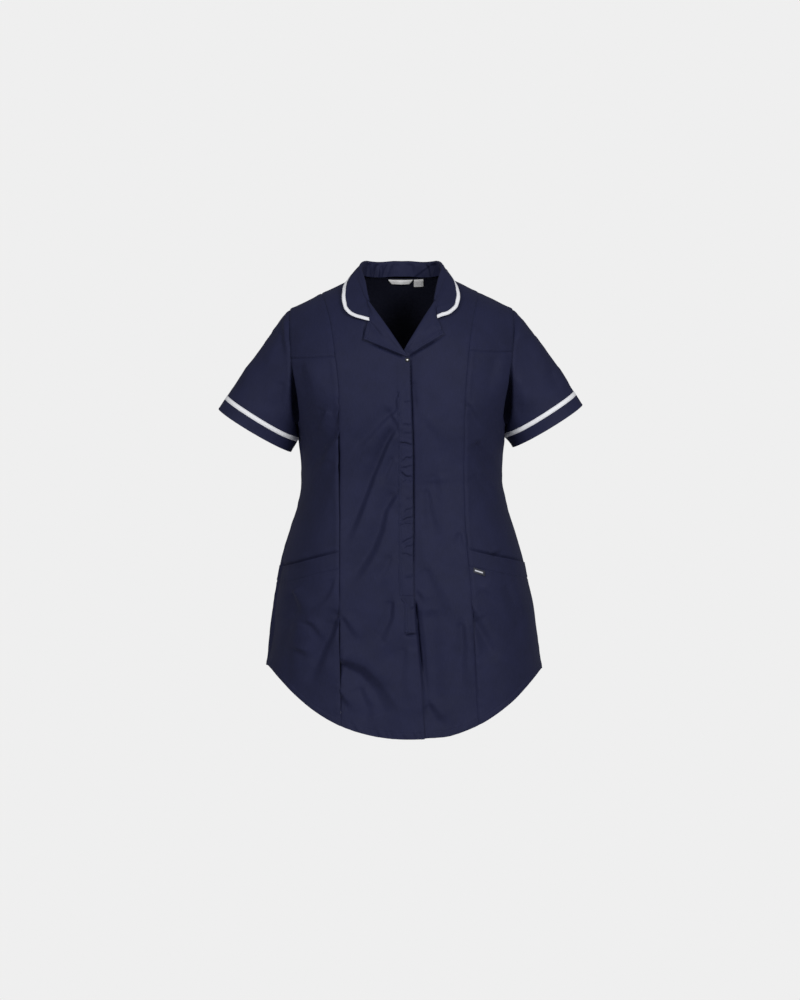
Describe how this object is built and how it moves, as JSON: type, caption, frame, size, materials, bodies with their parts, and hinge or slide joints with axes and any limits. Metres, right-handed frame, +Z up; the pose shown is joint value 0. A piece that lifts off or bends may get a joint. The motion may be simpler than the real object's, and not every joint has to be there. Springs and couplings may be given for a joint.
{
  "type": "maternity tunic",
  "caption": "Hollow short-sleeved maternity tunic with rever collar, princess seams, yokes, hip pockets, shirt-tail hem and white tape trim.",
  "frame": {"origin": "between the shoulders, at the height where the collar's edge crosses them, where the wearer holds the garment", "axes": "+Z up, -Y the garment's front, +X the wearer's left"},
  "size_m": [0.6098, 0.3129, 0.7945],
  "materials": {
    "navy_twill": "matt polycotton twill",
    "white_tape": "flat woven tape",
    "woven_label": "woven satin label",
    "press_stud": "bright nickel-plated cap"
  },
  "bodies": {
    "root": {"back": "navy_twill", "front_right_centre": "navy_twill", "front_left_centre": "navy_twill", "front_right_side": "navy_twill", "front_left_side": "navy_twill", "front_right_yoke": "navy_twill", "front_left_yoke": "navy_twill", "sleeve_right": "navy_twill", "sleeve_left": "navy_twill", "collar": "navy_twill", "lapel_right": "navy_twill", "lapel_left": "navy_twill", "fly_strip": "navy_twill", "pocket_right": "navy_twill", "pocket_left": "navy_twill", "collar_tape": "white_tape", "sleeve_right_tape": "white_tape", "sleeve_left_tape": "white_tape", "neck_label": "woven_label", "size_label": "woven_label", "pocket_tab": "woven_label", "neck_stud": "press_stud"}
  },
  "joints": []
}
